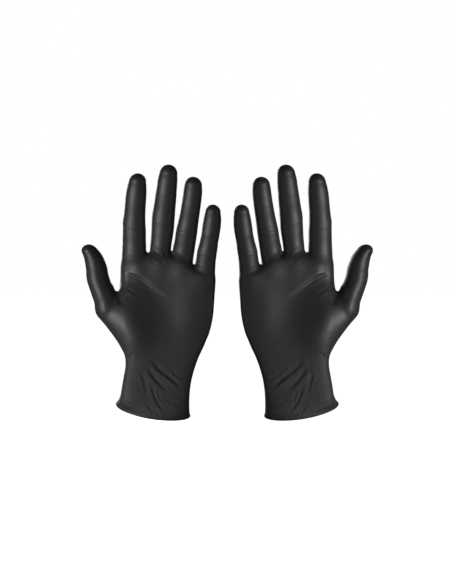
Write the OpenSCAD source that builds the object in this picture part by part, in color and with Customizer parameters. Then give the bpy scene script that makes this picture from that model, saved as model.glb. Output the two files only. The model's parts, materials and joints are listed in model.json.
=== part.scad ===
// A pair of disposable dipped-film gloves, held in the shape they have when worn.
// Left glove's cuff opening is centred on the origin. X runs from the left glove to the
// right glove, Z runs up towards the fingertips, and both palms face -Y.
// A real glove is one seamless film. Here it is divided where it bends, so every stall
// of the glove is a closed, hollow solid that turns on the joint below it.

/* [Pair] */
// Distance between the middles of the two cuff openings
pair_spacing = 140.4; // [138:0.1:300]

/* [Film] */
// Wall that stands in for the dipped film, which is 0.12 mm thick
film = 1; // [0.8:0.1:1.2]
// Clearance between two stalls where one turns inside the other
running_gap = 0.35; // [0.3:0.05:0.5]
// Thickness of the bead rolled at the end of the cuff
bead_d = 2.6; // [2:0.1:3]

/* [Cuff] */
// Height of the wrist joint above the middle of the cuff opening
wrist_height = 45; // [42:1:48]
// Slope of the cuff opening from the thumb side down to the little finger side
opening_fall = 0.18; // [0.1:0.01:0.2]
// Slope of the cuff opening from the back of the hand down to the palm
opening_dip = 0.26; // [0.1:0.01:0.3]
// How far the last centimetre of the cuff flares on the thumb side
flare = 3.2; // [0:0.1:4]

/* [Hand] */
// Height of the thenar swelling at the base of the thumb
thenar_rise = 11; // [6:0.5:13]
// Radius that the thenar swelling fades out over
thenar_reach = 21; // [16:0.5:24]

/* [Movement] */
// How far a finger folds at its root
root_range = 60; // [30:5:60]
// How far a finger folds at its middle joint
middle_range = 85; // [45:5:85]
// Share of the middle joint's fold that the end joint follows
end_share = 0.6; // [0.3:0.1:0.6]
// How far the thumb folds at its root
thumb_root_range = 35; // [10:5:35]
// How far the thumb folds at its end joint
thumb_end_range = 50; // [10:5:55]

/* [Index finger] */
// Root joint: across, height
index_root = [-17.8, 146]; // [-60:0.1:160]
// Lengths of the three stalls
index_lengths = [26.6, 25, 25.2]; // [15:0.1:35]
// Radii at the root, middle joint, end joint and tip
index_radii = [10.7, 10.4, 9.4, 8.4]; // [6:0.1:12]
// Lean towards the little finger
index_lean = 3; // [0:0.5:6]

/* [Middle finger] */
// Root joint: across, height
middle_root = [7, 149]; // [-60:0.1:160]
// Lengths of the three stalls
middle_lengths = [26.4, 28, 28.2]; // [15:0.1:35]
// Radii at the root, middle joint, end joint and tip
middle_radii = [10.1, 10.1, 9.3, 8.5]; // [6:0.1:12]
// Lean towards the little finger
middle_lean = 6; // [3:0.5:8]

/* [Ring finger] */
// Root joint: across, height
ring_root = [28.2, 144]; // [-60:0.1:160]
// Lengths of the three stalls
ring_lengths = [24.2, 25.6, 26.2]; // [15:0.1:35]
// Radii at the root, middle joint, end joint and tip
ring_radii = [9.9, 9.8, 8.9, 7.9]; // [6:0.1:12]
// Lean towards the little finger
ring_lean = 8; // [6:0.5:9]

/* [Little finger] */
// Root joint: across, height
little_root = [48.4, 131.5]; // [-60:0.1:160]
// Lengths of the three stalls
little_lengths = [17.8, 18, 26.8]; // [15:0.1:35]
// Radii at the root, middle joint, end joint and tip
little_radii = [9.3, 9.1, 8.3, 7.3]; // [6:0.1:12]
// Lean away from the middle finger
little_lean = 8.5; // [8:0.5:12]
// How far the little finger folds at its middle joint
little_middle_range = 70; // [30:5:70]

/* [Thumb] */
// Root joint: across, height
thumb_root = [-42.2, 101]; // [-60:0.1:160]
// Lengths of the two stalls
thumb_lengths = [31, 28]; // [20:0.1:40]
// Radii at the root, end joint and tip
thumb_radii = [11.4, 10.1, 8.2]; // [6:0.1:13]
// Lean away from the fingers
thumb_lean = 17.5; // [10:0.5:25]
// How far the thumb stands forward of the palm
thumb_forward = 9; // [4:0.5:12]
// Turn of the thumb's fold from straight forward towards the fingers
thumb_turn = 25; // [0:5:25]

/* [Hidden] */
film_colour = [0.13, 0.13, 0.14];
bead_colour = [0.09, 0.09, 0.10];
// Points round the palm and the cuff, and round the bead.
sides = 40;
bead_sides = 10;
stall_fn = 48;
sweep_fn = 20;
// Angle between the points of a fingertip's outline, and its rise as a share of its radius.
dome_step = 15;
dome_share = 1.15;
// Side of the blocks that trim what lies above a joint.
big = 120;
// Extra angle cut from the front of a stall so that the next one folds freely.
slot_margin = 3;
// Clearance round a digit where it leaves the palm, and the length of the space cleared.
palm_gap = running_gap + 0.2;
sweep_length = 42;
// Angles cut from the front and the back of the cuff so that the palm folds freely.
wrist_cut_front = 26;
wrist_cut_back = 22;

// Silhouette of the hand from wrist to finger roots: [height, reach] down each side.
thumb_side = [[-16, -31.6], [14, -30.2], [25, -28.4], [44, -25.4], [55, -27], [63, -30.5], [71, -36],
    [86, -48.6], [91, -51], [97, -47.5], [112, -34], [119, -30.8], [134, -29.5], [152, -28.5]];
little_side = [[-16, 34.2], [14, 34.4], [25, 35.4], [33, 37.2], [44, 40.6], [55, 45.3], [67, 50.3],
    [75, 53.2], [86, 55.8], [100, 57.6], [112, 58.3], [127, 58.5], [152, 58.5]];
// Depth of the hand in front of and behind the plane of the wrist and fingers.
palm_depth = [[-16, 23], [25, 22], [45, 21.5], [60, 22.5], [80, 20], [105, 16.5], [130, 14], [152, 12.6]];
back_depth = [[-16, 23], [25, 22], [45, 20.5], [80, 17], [105, 15], [130, 14], [152, 12.6]];
// Line of the webs between the fingers: [across, height].
web_line = [[-32, 142], [-4, 149], [19, 149], [40, 137.5], [60, 127]];
web_top = 149.5;
web_start = 116;
// Rings of the palm: [height, share of the full depth, share of the full width].
palm_rings = concat([[wrist_height, 0.93, 0.93], [52, 0.97, 0.97]],
    [for (z = [60, 67, 74, 81, 87, 92, 98, 105, 112, 119, 128, 137]) [z, 1, 1]],
    [[143, 0.97, 0.995], [147, 0.84, 0.98], [web_top, 0.5, 0.95]]);
// Rings of the cuff, as shares of the way from its opening to the wrist.
cuff_rings = [0, 0.06, 0.13, 0.25, 0.5, 0.75, 1];
thenar_at = [-23, 80];

// Folds of a finger's root, middle and end joints.
function finger_folds(middle = middle_range) = [root_range, middle, middle * end_share];
// One digit: [name, root, how far forward, lengths, radii, lean, turn, folds].
digits = [
    ["thumb", thumb_root, thumb_forward, thumb_lengths, thumb_radii, -thumb_lean, thumb_turn,
        [thumb_root_range, thumb_end_range]],
    ["index", index_root, 0, index_lengths, index_radii, index_lean, 0, finger_folds()],
    ["middle", middle_root, 0, middle_lengths, middle_radii, middle_lean, 0, finger_folds()],
    ["ring", ring_root, 0, ring_lengths, ring_radii, ring_lean, 0, finger_folds()],
    ["little", little_root, 0, little_lengths, little_radii, little_lean, 0,
        finger_folds(little_middle_range)]];
function name_of(d) = d[0];
function root_of(d) = [d[1][0], -d[2], d[1][1]];
function length_of(d, k) = d[3][k];
function radius_of(d, k) = d[4][k];
function lean_of(d) = d[5];
function turn_of(d) = d[6];
function fold_of(d, k) = d[7][k];
function stalls_of(d) = len(d[3]) == 2 ? ["base", "tip"] : ["base", "middle", "tip"];
// Slight bend that each joint of a digit keeps at rest.
rest_bend = [2, 4, 5];

hands = ["left", "right"];

// Places a piece of the left glove, or its mirror image for the right glove.
module in_hand(hand) {
    if (hand == "left") children();
    else translate([pair_spacing, 0, 0]) mirror([1, 0, 0]) children();
}

// ---- Hand surface ----

function ease(x) = let (t = min(1, max(0, x))) t * t * (3 - 2 * t);
function rounded(v) = sign(v) * pow(abs(v), 0.85);
function swelling(x, z) =
    thenar_rise * exp(-(pow((x - thenar_at[0]) / thenar_reach, 2) + pow((z - thenar_at[1]) / thenar_reach, 2)))
        * ease((z - wrist_height - 2) / 16);
function web_drop(x, z) = (lookup(x, web_line) - web_top) * ease((z - web_start) / (web_top - web_start));

// One ring of the hand's surface, moved in by inset.
function hand_ring(z, inset, deep = 1, wide = 1) =
    let (low = lookup(z, thumb_side) + inset, high = lookup(z, little_side) - inset,
        middle = (low + high) / 2, half = (high - low) / 2 * wide)
    [for (i = [0:sides - 1])
        let (a = 360 * i / sides, x = middle + half * rounded(cos(a)), s = rounded(sin(a)),
            depth = s < 0 ? lookup(z, palm_depth) : lookup(z, back_depth),
            y = s * (depth - inset) * deep + min(0, s) * swelling(x, z))
        [x, y, z + web_drop(x, z)]];

// One ring of the cuff, from the sloped opening (share 0) to the wrist (share 1).
function cuff_ring(share, inset) =
    let (base = hand_ring(wrist_height * share, inset))
    [for (p = base)
        let (out = flare * pow(1 - share, 8) * ease(-p[0] / 30),
            z = p[2] + (1 - share) * (opening_dip * p[1] - opening_fall * p[0]))
        [p[0] - out, p[1], z]];

// Height of the palm's inner surface, level with the outer one at the wrist and a film lower at the webs.
function under(z) = z - film * (z - wrist_height) / (web_top - wrist_height);

// ---- Shells from rings ----

function wrap(i) = i % sides;
function flipped(faces) = [for (f = faces) [f[2], f[1], f[0]]];
// Faces between two rings that start at points a and b.
function band(a, b) = [for (i = [0:sides - 1]) each
    [[a + i, b + i, b + wrap(i + 1)], [a + i, b + wrap(i + 1), a + wrap(i + 1)]]];
function bands(first, rings) = [for (j = [0:rings - 2]) each
    band(first + j * sides, first + (j + 1) * sides)];
// Faces across a ring, in strips from front to back.
function lid(a) = [for (i = [0:sides / 2 - 1]) each concat(
    i == sides / 2 - 1 ? [] : [[a + sides - i - 1, a + i + 1, a + i]],
    i == 0 ? [] : [[a + sides - i, a + sides - i - 1, a + i]])];

// Hollow shell between outer and inner rings, with a lid over the last ring or open there.
module shell(outer, inner, has_lid) {
    rings = len(outer);
    inner_at = rings * sides;
    last = inner_at - sides;
    top = has_lid ? concat(lid(last), flipped(lid(inner_at + last))) : flipped(band(inner_at + last, last));
    polyhedron([for (ring = concat(outer, inner)) each ring],
        concat(bands(0, rings), flipped(bands(inner_at, rings)), top, band(inner_at, 0)));
}

// ---- Joints between stalls ----

// Everything above the joint at the origin, tilted forward by an angle.
module above(tilt) {
    rotate([tilt, 0, 0]) translate([-big / 2, -big / 2, -running_gap]) cube(big);
}

// What a stall of radius r loses so that a stall of radius inner_r can fold forward inside it.
module fold_cut(fold, r, inner_r) {
    above(0);
    above(max(0, atan((inner_r - r * cos(fold)) / (r * sin(fold))) + slot_margin));
}

// Puts children at the start of stall k of a digit.
module at_stall(d, k) {
    translate(root_of(d)) rotate([0, lean_of(d), 0]) rotate([0, 0, turn_of(d)]) rotate([rest_bend[0], 0, 0])
        along(d, k) children();
}

// Moves children on from the start of stall j to the start of stall k.
module along(d, k, j = 0) {
    if (j == k) children();
    else translate([0, 0, length_of(d, j)]) rotate([rest_bend[j + 1], 0, 0]) along(d, k, j + 1) children();
}

// Outer radius at the start of stall k. Each stall after the first starts inside the one before it.
function start_r(d, k) = radius_of(d, k) - (k == 0 ? 0 : film + running_gap);

// ---- Pieces ----

// Straight stall, open at both ends, that tapers from its own joint to the next.
module open_stall(d, k) {
    length = length_of(d, k);
    a = start_r(d, k);
    b = radius_of(d, k + 1);
    difference() {
        rotate_extrude($fn = stall_fn) polygon([[a - film, 0], [a, 0], [b, length], [b - film, length]]);
        translate([0, 0, length]) rotate([rest_bend[k + 1], 0, 0])
            fold_cut(fold_of(d, k + 1), b, start_r(d, k + 1) + running_gap);
    }
}

// Half outline of a fingertip, from its widest round to just short of its end.
function dome(r, rise, base) = [for (t = [0:dome_step:90 - dome_step]) [r * cos(t), base + rise * sin(t)]];
function backwards(v) = [for (i = [len(v) - 1:-1:0]) v[i]];

// Last stall of a digit, closed by its rounded fingertip.
module end_stall(d, k) {
    length = length_of(d, k);
    a = start_r(d, k);
    b = radius_of(d, k + 1);
    rise = b * dome_share;
    rotate_extrude($fn = stall_fn) polygon(concat(
        [[a, 0]],
        dome(b, rise, length - rise),
        [[0, length], [0, length - film]],
        backwards(dome(b - film, rise - film, length - rise)),
        [[a - film, 0]]));
}

module stall(d, k) {
    color(film_colour) at_stall(d, k)
        if (k == len(stalls_of(d)) - 1) end_stall(d, k);
        else open_stall(d, k);
}

// Space that a digit's first stall turns through, cut from the palm.
module root_sweep(d) {
    r = start_r(d, 0) + palm_gap;
    at_stall(d, 0) hull()
        for (fold = [0, fold_of(d, 0)])
            rotate([fold, 0, 0]) cylinder(r = r, h = sweep_length, $fn = sweep_fn);
}

module palm() {
    inset = film + running_gap;
    color(film_colour) difference() {
        shell([for (k = palm_rings) hand_ring(k[0], inset, k[1], k[2])],
            [for (k = palm_rings) hand_ring(under(k[0]), inset + film, k[1], k[2])], true);
        for (d = digits) root_sweep(d);
    }
}

module cuff() {
    middle = (lookup(wrist_height, thumb_side) + lookup(wrist_height, little_side)) / 2;
    color(film_colour) difference() {
        shell([for (share = cuff_rings) cuff_ring(share, 0)],
            [for (share = cuff_rings) cuff_ring(share, film)], false);
        translate([middle, 0, wrist_height]) {
            above(wrist_cut_front);
            above(-wrist_cut_back);
        }
    }
}

// Bead rolled up round the cuff opening, with its middle just below the film's edge.
module cuff_bead() {
    path = cuff_ring(0, film / 2);
    outside = cuff_ring(0, 0);
    points = [for (i = [0:sides - 1], t = [0:bead_sides - 1])
        let (out = outside[i] - path[i], angle = 360 * t / bead_sides)
        path[i] + bead_d / 2 * (out / norm(out) * cos(angle) + [0, 0, sin(angle) - 0.5])];
    function at(i, t) = wrap(i) * bead_sides + t % bead_sides;
    color(bead_colour) polyhedron(points, [for (i = [0:sides - 1], t = [0:bead_sides - 1]) each
        [[at(i, t), at(i, t + 1), at(i + 1, t + 1)], [at(i, t), at(i + 1, t + 1), at(i + 1, t)]]]);
}

for (hand = hands) in_hand(hand) {
    cuff();
    cuff_bead();
    palm();
    for (d = digits, k = [0:len(stalls_of(d)) - 1])
        stall(d, k);
}
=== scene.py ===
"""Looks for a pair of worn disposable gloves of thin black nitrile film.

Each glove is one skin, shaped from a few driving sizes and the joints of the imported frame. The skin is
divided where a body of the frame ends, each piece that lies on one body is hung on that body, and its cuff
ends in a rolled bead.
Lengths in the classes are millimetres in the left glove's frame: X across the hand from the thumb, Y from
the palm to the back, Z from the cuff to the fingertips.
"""

import json
import logging
import math
from dataclasses import dataclass, field
from enum import Enum
from typing import Callable, Iterable, Sequence

import bmesh
import bpy
import numpy as np
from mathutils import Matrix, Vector


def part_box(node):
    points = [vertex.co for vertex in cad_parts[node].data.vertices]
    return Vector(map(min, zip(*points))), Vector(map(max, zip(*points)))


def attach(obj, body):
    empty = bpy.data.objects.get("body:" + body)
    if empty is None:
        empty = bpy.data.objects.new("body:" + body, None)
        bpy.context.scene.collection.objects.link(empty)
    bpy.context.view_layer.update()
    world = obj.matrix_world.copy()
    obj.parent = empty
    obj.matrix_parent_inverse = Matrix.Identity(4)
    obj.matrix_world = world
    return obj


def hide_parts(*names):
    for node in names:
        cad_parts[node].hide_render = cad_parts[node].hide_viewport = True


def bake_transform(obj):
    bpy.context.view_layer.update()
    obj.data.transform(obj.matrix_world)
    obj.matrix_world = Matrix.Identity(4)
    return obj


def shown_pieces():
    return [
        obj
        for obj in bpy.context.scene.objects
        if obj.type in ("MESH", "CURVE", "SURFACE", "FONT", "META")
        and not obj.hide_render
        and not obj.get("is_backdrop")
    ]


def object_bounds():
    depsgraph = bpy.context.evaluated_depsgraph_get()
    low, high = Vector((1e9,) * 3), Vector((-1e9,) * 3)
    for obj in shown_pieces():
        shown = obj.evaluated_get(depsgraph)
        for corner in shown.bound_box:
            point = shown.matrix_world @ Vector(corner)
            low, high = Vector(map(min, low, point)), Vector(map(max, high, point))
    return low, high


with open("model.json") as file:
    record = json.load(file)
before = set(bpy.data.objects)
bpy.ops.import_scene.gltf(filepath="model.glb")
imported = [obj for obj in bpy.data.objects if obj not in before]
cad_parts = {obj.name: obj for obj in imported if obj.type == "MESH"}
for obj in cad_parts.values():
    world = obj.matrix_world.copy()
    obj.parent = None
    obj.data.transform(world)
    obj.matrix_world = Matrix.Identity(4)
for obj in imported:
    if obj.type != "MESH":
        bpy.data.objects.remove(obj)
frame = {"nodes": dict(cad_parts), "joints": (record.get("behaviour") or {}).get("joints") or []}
CAD_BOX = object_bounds()

LOG = logging.getLogger("gloves")
MM = 0.001
Array = np.ndarray

# The space that holds the left glove's skin and the size of a cell of its net, in mm.
SKIN_LOW, SKIN_HIGH, SKIN_CELL = (-76.0, -42.0, -24.0), (66.0, 32.0, 237.0), 1.0
# Where the camera looks, in metres: sideways from the middle of the pair, in depth and in height.
VIEW_SHIFT, VIEW_DEPTH, VIEW_HEIGHT = -0.00116, -0.005, 0.1122


class Hand(Enum):
    """The two gloves of the pair."""

    LEFT = "left"
    RIGHT = "right"


class Side(Enum):
    """The two faces of a glove, as the sign of Y."""

    PALM = -1
    BACK = 1


# ---------------------------------------------------------------- small maths


def ease(x: Array) -> Array:
    """Smooth step from 0 at x = 0 to 1 at x = 1."""
    t = np.clip(x, 0.0, 1.0)
    return t * t * (3.0 - 2.0 * t)


def bell(x: Array, width: float) -> Array:
    """Rounded bump of height 1 at x = 0 that fades out over width."""
    return np.exp(-((x / width) ** 2))


def mound(x: Array, z: Array, middle_x: float, middle_z: float, wide: float, long: float,
          height: float) -> Array:
    """Rounded mound of a height at a middle, that fades out over its half width and half length."""
    return height * np.exp(-((x - middle_x) / wide) ** 2 - ((z - middle_z) / long) ** 2)


def everywhere(p: Array) -> Array:
    """True for each point."""
    return np.ones(len(p), bool)


def smooth_min(a: Array, b: Array, radius: float) -> Array:
    """Lower of two fields, with a fillet of about radius where they meet."""
    h = np.clip(1.0 - np.abs(a - b) / radius, 0.0, 1.0)
    return np.minimum(a, b) - h * h * radius / 4.0


def smooth_max(a: Array, b: Array, radius: float) -> Array:
    """Higher of two fields, with a round of about radius where they meet."""
    return -smooth_min(-a, -b, radius)


class Profile:
    """Smooth curve through a few given points, without overshoot."""

    def __init__(self, points: Sequence[tuple[float, float]]) -> None:
        """Args:
            points: pairs of position and value, by rising position.
        """
        self.x, self.y = np.array(points, float).T
        h, d = np.diff(self.x), np.diff(self.y) / np.diff(self.x)
        slope = np.zeros_like(self.x)
        slope[0], slope[-1] = d[0], d[-1]
        same = d[:-1] * d[1:] > 0
        w1, w2 = 2 * h[1:] + h[:-1], h[1:] + 2 * h[:-1]
        with np.errstate(divide="ignore", invalid="ignore"):
            mean = (w1 + w2) / (w1 / d[:-1] + w2 / d[1:])
        slope[1:-1] = np.where(same, mean, 0.0)
        self.slope = slope

    def __call__(self, x: Array) -> Array:
        """Value of the curve at each x, held level past its ends."""
        x = np.clip(x, self.x[0], self.x[-1])
        i = np.clip(np.searchsorted(self.x, x) - 1, 0, len(self.x) - 2)
        h = self.x[i + 1] - self.x[i]
        t = (x - self.x[i]) / h
        a, b = (1 + 2 * t) * (1 - t) ** 2, t * (1 - t) ** 2
        c, e = t * t * (3 - 2 * t), t * t * (t - 1)
        return a * self.y[i] + b * h * self.slope[i] + c * self.y[i + 1] + e * h * self.slope[i + 1]


def spline(points: Sequence[tuple[float, ...]], steps: int = 8) -> Array:
    """Catmull-Rom curve through a few points, as a polyline."""
    p = np.array(points, float)
    p = np.vstack([2 * p[0] - p[1], p, 2 * p[-1] - p[-2]])
    out = []
    for a, b, c, d in zip(p[:-3], p[1:-2], p[2:-1], p[3:]):
        for t in np.arange(steps) / steps:
            square, cube = 2 * a - 5 * b + 4 * c - d, 3 * b - a - 3 * c + d
            out.append(0.5 * (2 * b + (c - a) * t + square * t**2 + cube * t**3))
    return np.array([*out, p[-2]])


# ---------------------------------------------------------------- shape of the hand


def joint_of(name: str) -> dict:
    """The frame's joint of that name."""
    return next(j for j in frame["joints"] if j["name"] == name)


@dataclass
class Digit:
    """One finger or thumb: a bent axis from its joints, with a width at a few places along it."""

    name: str
    stations: Sequence[tuple[float, float, float]]
    depth_share: float = 0.92
    pad: float = 0.7
    tip_share: float = 1.15
    reach: float = 1.0
    start: float = -30.0
    lean: float = 0.0

    def __post_init__(self) -> None:
        """Reads the axis of the digit from the left glove's joints and fingertip."""
        kinds = ["root", "end"] if self.name == "thumb" else ["root", "middle", "end"]
        joints = [joint_of(f"left_{self.name}_{k}") for k in kinds]
        at = [np.array(j["pos_m"]) / MM for j in joints]
        tip_node = frame["nodes"][f"left_{self.name}_tip"]
        tip_points = np.array([v.co for v in tip_node.data.vertices]) / MM
        apex = tip_points[np.argmax(np.linalg.norm(tip_points - at[-1], axis=1))]
        self.knots = np.array([*at, apex])
        self.hinge = np.array(joints[0]["axis"])
        lengths = np.linalg.norm(np.diff(self.knots, axis=0), axis=1)
        self.marks = np.concatenate([[0.0], np.cumsum(lengths)])
        self.length = float(self.marks[-1]) + self.reach
        self.radius = Profile([(s, width / 2) for s, width, _ in self.stations])
        self.sway = Profile([(s, sway) for s, _, sway in self.stations])
        self.axis = (apex - at[0]) / np.linalg.norm(apex - at[0])
        self.front = np.cross(self.hinge, self.axis)
        self.front /= np.linalg.norm(self.front)
        self.across = np.cross(self.axis, self.front)

    def point(self, s: float) -> Array:
        """Point on the axis at a length s from the root."""
        k = int(np.clip(np.searchsorted(self.marks, s) - 1, 0, len(self.knots) - 2))
        t = (s - self.marks[k]) / (self.marks[k + 1] - self.marks[k])
        return self.knots[k] + (self.knots[k + 1] - self.knots[k]) * t

    def direction(self, s: float) -> Array:
        """Unit vector along the axis at a length s from the root."""
        d = self.point(s + 2.0) - self.point(s - 2.0)
        return d / np.linalg.norm(d)

    def local(self, p: Array) -> tuple[Array, Array, Array]:
        """Length along the digit, distance across it and distance to its front, of each point."""
        v = p - self.knots[0]
        s = v @ self.axis
        sag = np.array([(k - self.knots[0]) @ self.front for k in self.knots])
        curve = Profile(list(zip([(k - self.knots[0]) @ self.axis for k in self.knots], sag)))
        return s, v @ self.across - self.sway(s), v @ self.front - curve(s)

    def distance(self, p: Array) -> Array:
        """Signed distance of each point from the digit's skin, in mm."""
        s, a, f = self.local(p)
        tip_r = float(self.radius(np.array(self.length)))
        last = self.length - tip_r * self.tip_share
        at = np.clip(s, self.start, last)
        r = self.radius(at)
        front = self.depth_share * r * (1.0 - self.lean * np.clip(a / r, -1.0, 1.0) * np.sign(f))
        for mark in self.pads():
            front = front + np.where(f > 0, self.pad * bell(at - mark, 6.5), 0.0)
        e = (s - at) / np.where(s < at, r, tip_r * self.tip_share)
        q = np.sqrt((a / r) ** 2 + (f / front) ** 2 + e**2)
        return (q - 1.0) * np.minimum(r, front)

    def pads(self) -> list[float]:
        """Middle of each pad between two creases, as lengths along the digit."""
        return [float(a + b) / 2 for a, b in zip(self.marks[:-1], self.marks[1:])]


@dataclass
class HandShape:
    """The whole skin of the left hand, from below the cuff's edge to the fingertips."""

    thumb_side: Sequence[tuple[float, float]] = (
        (-25, -30.9), (5, -30.7), (10, -30.4), (16, -29.8), (22, -29.0), (33, -27.1), (44, -25.4),
        (50, -25.3), (55, -25.2), (61, -25.4), (68, -27.2), (78, -31.5), (88, -33.6), (97, -34.0),
        (106, -33.0), (112, -32.2), (117, -30.6), (123, -29.4), (131, -29.0), (155, -28.6))
    little_side: Sequence[tuple[float, float]] = (
        (-25, 34.4), (5, 34.4), (16, 34.8), (27, 36.2), (38, 38.9), (50, 43.1), (61, 48.2), (67, 50.7),
        (72, 52.8), (78, 54.6), (84, 56.0), (95, 57.5), (106, 58.0), (117, 58.4), (134, 58.9), (155, 58.6))
    palm_depth: Sequence[tuple[float, float]] = (
        (-25, 19.6), (10, 18.6), (40, 16.8), (55, 16.4), (70, 14.2), (90, 12.0), (110, 11.6), (130, 11.8),
        (155, 10.6))
    palm_lean: Sequence[tuple[float, float]] = (
        (-25, 0.0), (0, 0.05), (12, 0.14), (60, 0.16), (90, 0.06), (130, 0.02))
    back_depth: Sequence[tuple[float, float]] = (
        (-25, 23.0), (10, 22.4), (40, 20.4), (60, 18.4), (90, 15.8), (120, 14.6), (140, 12.8),
        (155, 11.0))
    palm_squareness: Sequence[tuple[float, float]] = (
        (-25, 2.6), (4, 3.2), (12, 4.4), (24, 5.2), (50, 5.0), (75, 3.6), (155, 3.4))
    back_squareness: Sequence[tuple[float, float]] = (
        (-25, 2.2), (30, 2.25), (60, 2.4), (100, 2.7), (155, 3.0))
    webs: Sequence[tuple[float, float]] = (
        (-40, 141), (-28, 143), (-3.6, 148.3), (19.1, 147.7), (40.3, 135.6), (54, 130), (64, 127))
    ball_ends: tuple[tuple[float, float, float], ...] = ((-41.0, -8.0, 96.5), (-18.5, -7.0, 71.5))
    ball_radii: tuple[float, float] = (12.2, 14.2)
    swell_middle: tuple[float, float] = (-27, 88)
    swell_direction: tuple[float, float] = (0.79, 0.61)
    swell_height: float = 13.0
    heel: tuple[float, ...] = (34, 92, 13, 30, 1.3)
    hollow: tuple[float, ...] = (8, 94, 24, 20, 1.2)
    finger_pads: tuple[tuple[float, ...], ...] = (
        (-15, 136, 9, 9, 1.9), (6, 137, 9, 9, 1.2), (27, 133, 9, 9, 1.2), (46, 122, 9, 9, 1.2))
    knuckle_mounds: tuple[tuple[float, ...], ...] = (
        (-18, 124, 8, 9, 1.4), (5, 127, 8, 9, 1.4), (26, 122, 8, 9, 1.4), (45, 112, 8, 9, 1.4))
    rim_fall: float = 0.170
    rim_dip: float = 0.345
    rim_height: float = 0.95
    rim_squareness: float = 1.9
    rim_round_length: float = 9.0
    flare: float = 4.0
    flare_length: float = 24.0
    little_flare: float = 0.6
    little_flare_length: float = 14.0
    web_fillet: float = 4.5
    thumb_fillet: float = 4.5
    crotch_fillet: float = 2.5
    ball_fillet: float = 12.0
    palm_end_round: float = 9.0
    digits: list[Digit] = field(default_factory=lambda: [
        Digit("thumb", ((-8, 21.8, 0.4), (0, 22.4, 0.3), (8, 23.2, -0.2), (14, 22.9, -0.6),
                        (19.5, 21.8, -1.3), (25, 21.8, -1.4), (31, 21.7, -0.7), (37, 20.2, 0.1),
                        (42.5, 18.8, 0.1), (48, 16.8, -0.6), (54, 14.4, -2.4), (59, 13.4, -3.8)),
              depth_share=0.94, pad=0.6, reach=0.1, start=-2.0, lean=0.30),
        Digit("index", ((-20, 22.4, 0.3), (0, 22.8, 0.2), (8, 22.6, 0.1), (16, 22.1, -0.3),
                        (24, 21.9, -0.6), (32, 21.4, -1.2), (40, 20.2, -1.0), (48, 19.8, -0.8),
                        (56, 19.6, -0.5), (64, 18.4, -0.1), (72, 15.8, 0.4), (77, 15.0, 0.6)), reach=1.2),
        Digit("middle", ((-20, 21.0, 0.0), (0, 20.0, 0.0), (8, 20.1, 0.0), (17, 20.8, 0.1),
                         (25, 21.5, 0.0), (34, 21.7, -0.4), (43, 20.7, -0.2), (51, 20.2, 0.0),
                         (60, 19.3, 0.1), (69, 18.6, 0.2), (77, 16.4, 0.4), (83, 15.4, 0.5)), reach=0.9),
        Digit("ring", ((-20, 21.0, -0.3), (0, 20.8, -0.3), (8, 20.7, -0.1), (16, 20.2, 0.2), (24, 20.2, 0.3),
                       (32, 19.5, 0.5), (39, 18.8, 0.8), (47, 18.4, 1.0), (55, 18.1, 1.1), (63, 17.9, 1.0),
                       (71, 16.1, 0.6), (76, 15.0, 0.5)), reach=1.4),
        Digit("little", ((-16, 21.0, 0.4), (0, 20.3, 0.3), (12, 18.7, 0.1), (18, 18.8, 0.0), (23, 18.3, 0.3),
                         (29, 17.3, 0.5), (35, 17.2, 0.8), (40, 17.4, 0.8), (46, 17.2, 0.7), (52, 16.2, 0.5),
                         (57.5, 14.3, 0.1), (63, 13.2, 0.0)), reach=1.2)])

    def __post_init__(self) -> None:
        """Makes the curves from their points."""
        self.low, self.high = Profile(self.thumb_side), Profile(self.little_side)
        self.front, self.back = Profile(self.palm_depth), Profile(self.back_depth)
        self.powers = Profile(self.palm_squareness), Profile(self.back_squareness)
        self.web = Profile(self.webs)
        self.lean = Profile(self.palm_lean)

    def above_rim(self, p: Array) -> Array:
        """Height of each point above the plane of the cuff's edge."""
        return p[:, 2] - self.rim_height - self.rim_dip * p[:, 1] + self.rim_fall * p[:, 0]

    def rim_plane(self) -> "Cut":
        """The plane of the cuff's edge."""
        normal = np.array([self.rim_fall, -self.rim_dip, 1.0])
        return Cut(np.array([0.0, 0.0, self.rim_height]), normal / np.linalg.norm(normal), everywhere)

    def ball_distance(self, p: Array) -> Array:
        """Signed distance of each point from the ball of the thumb, a mass along the first hand bone."""
        a, b = np.array(self.ball_ends)
        t = np.clip((p - a) @ (b - a) / ((b - a) @ (b - a)), 0.0, 1.0)
        radius = self.ball_radii[0] + (self.ball_radii[1] - self.ball_radii[0]) * t
        return np.linalg.norm(p - a - t[:, None] * (b - a), axis=1) - radius

    def swelling(self, x: Array, z: Array) -> Array:
        """How far the palm stands forward of its plain section: thumb ball, little finger ball and pads."""
        (middle_x, middle_z), (c, s) = self.swell_middle, self.swell_direction
        dx, dz = x - middle_x, z - middle_z
        across, along = dx * c + dz * s, dx * s - dz * c
        wide, long = np.where(across < 0, 18, 24.5), np.where(along < 0, 34, 25)
        ball = self.swell_height * np.exp(-((across / wide) ** 2) - (along / long) ** 2)
        pads = sum(mound(x, z, *pad) for pad in self.finger_pads)
        lean = self.lean(z) * (x - (self.low(z) + self.high(z)) / 2)
        return ball + mound(x, z, *self.heel) + pads - mound(x, z, *self.hollow) - lean

    def knuckles(self, x: Array, z: Array) -> Array:
        """How far the back of the hand stands out over the knuckles."""
        return sum(mound(x, z, *knuckle) for knuckle in self.knuckle_mounds)

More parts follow.
